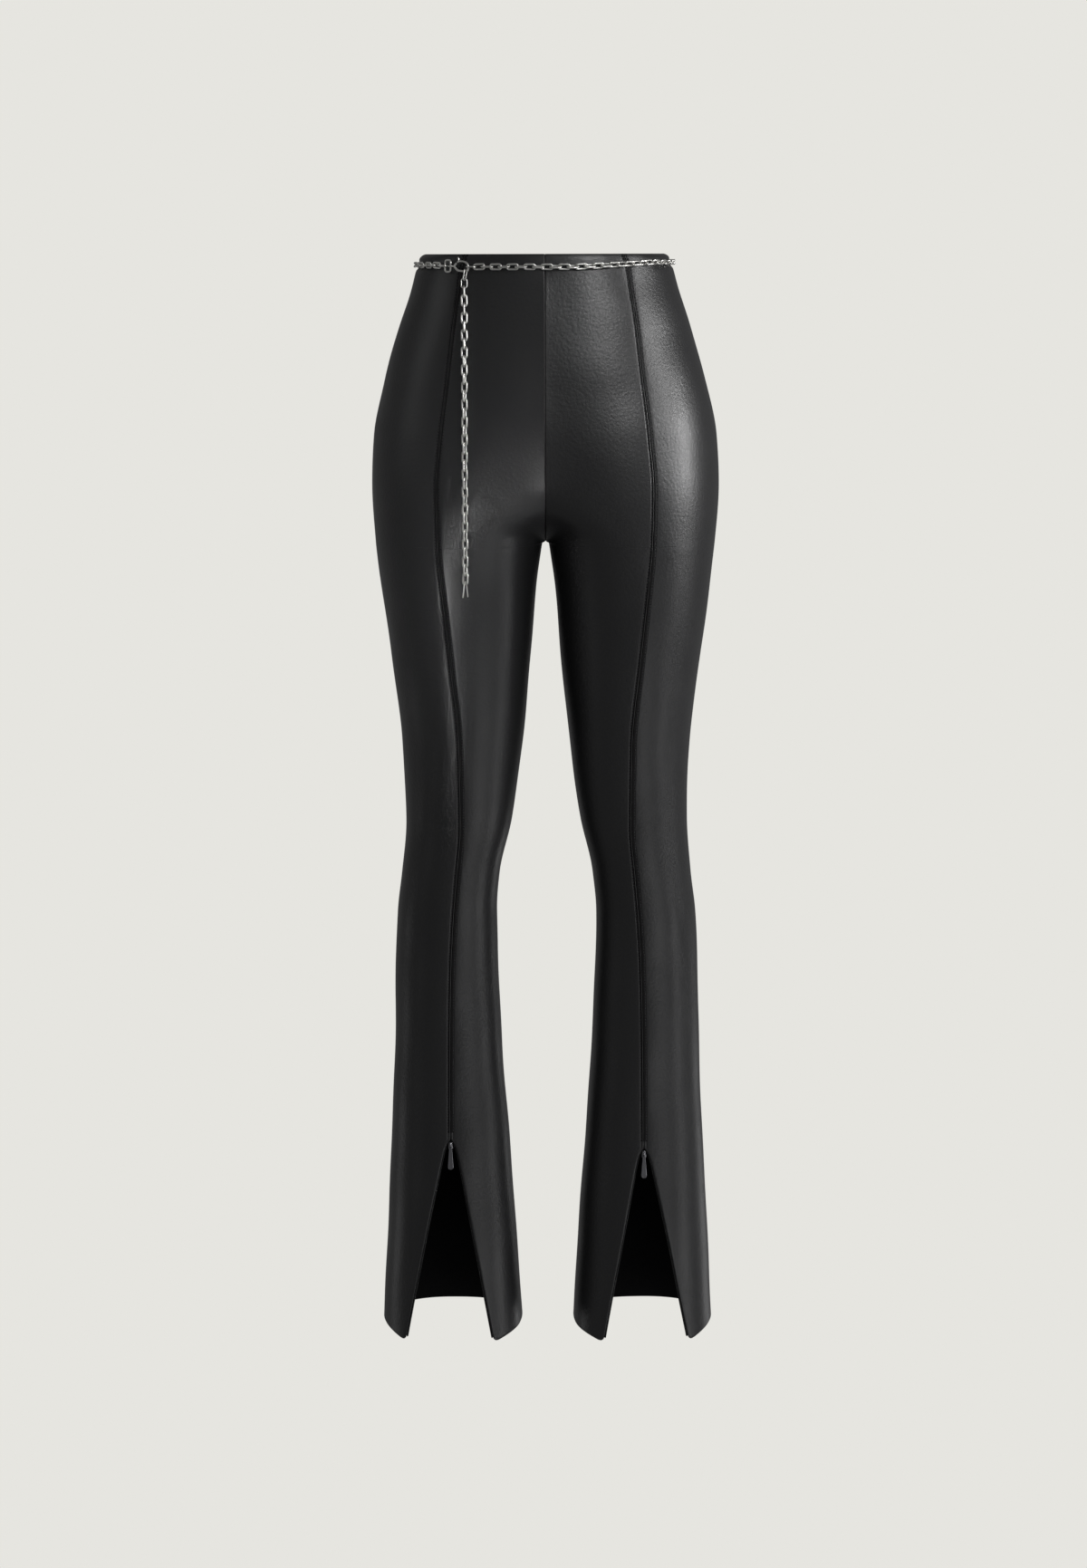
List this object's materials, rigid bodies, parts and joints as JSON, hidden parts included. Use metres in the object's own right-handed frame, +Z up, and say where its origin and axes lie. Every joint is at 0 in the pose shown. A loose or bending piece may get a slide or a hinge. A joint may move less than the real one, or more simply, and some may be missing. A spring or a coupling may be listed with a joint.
{
  "type": "flared leather trousers",
  "caption": "High-waisted flared leather trousers with princess seams, a zipped front slit in each hem and a chain belt with a hanging end.",
  "frame": {"origin": "middle of the waist opening, level with the chain belt, where the wearer's waist holds the trousers", "axes": "+Z up the wearer, -Y the front, +X the wearer's left"},
  "size_m": [0.3344, 0.2404, 1.055],
  "materials": {
    "black_leather": "smooth coated, soft sheen",
    "black_zip_tape": "woven, matt",
    "black_zip_metal": "black, glossy",
    "silver_steel": "polished"
  },
  "bodies": {
    "trousers": {"front_inner_L": "black_leather", "front_outer_L": "black_leather", "back_L": "black_leather", "zip_tape_inner_L": "black_zip_tape", "zip_tape_outer_L": "black_zip_tape", "zip_slider_L": "black_zip_metal", "front_inner_R": "black_leather", "front_outer_R": "black_leather", "back_R": "black_leather", "zip_tape_inner_R": "black_zip_tape", "zip_tape_outer_R": "black_zip_tape", "zip_slider_R": "black_zip_metal", "belt_chain": "silver_steel", "belt_ring": "silver_steel", "belt_clasp": "silver_steel"},
    "pull_left": {"zip_pull_L": "black_zip_metal"},
    "pull_right": {"zip_pull_R": "black_zip_metal"},
    "clasp_lever": {"clasp_lever": "silver_steel"},
    "chain_top_link": {"tail_top_link": "silver_steel"},
    "hanging_chain": {"tail_chain": "silver_steel", "tail_end": "silver_steel"}
  },
  "joints": [
    {"name": "pull_left_swing", "type": "hinge", "parent": "trousers", "child": "pull_left", "pos_m": [0.09406, -0.05437, -0.8542], "axis": [-1, 0, 0], "range_deg": [0, 165]},
    {"name": "pull_right_swing", "type": "hinge", "parent": "trousers", "child": "pull_right", "pos_m": [-0.09398, -0.05394, -0.8452], "axis": [-1, 0, 0], "range_deg": [0, 165]},
    {"name": "clasp_lever_press", "type": "hinge", "parent": "trousers", "child": "clasp_lever", "pos_m": [-0.0811, -0.07755, 0.00745], "axis": [0.5376, 0.8432, -0.0009], "range_deg": [0, 24], "stiffness_Nm_per_rad": 0.005},
    {"name": "chain_swing_out", "type": "hinge", "parent": "trousers", "child": "chain_top_link", "pos_m": [-0.07379, -0.08223, -0.00098], "axis": [-0.8429, 0.5374, 0.0269], "range_deg": [0, 80]},
    {"name": "chain_swing_side", "type": "hinge", "parent": "chain_top_link", "child": "hanging_chain", "pos_m": [-0.07509, -0.08426, -0.0094], "axis": [0, 1, 0], "range_deg": [-2, 25]}
  ]
}
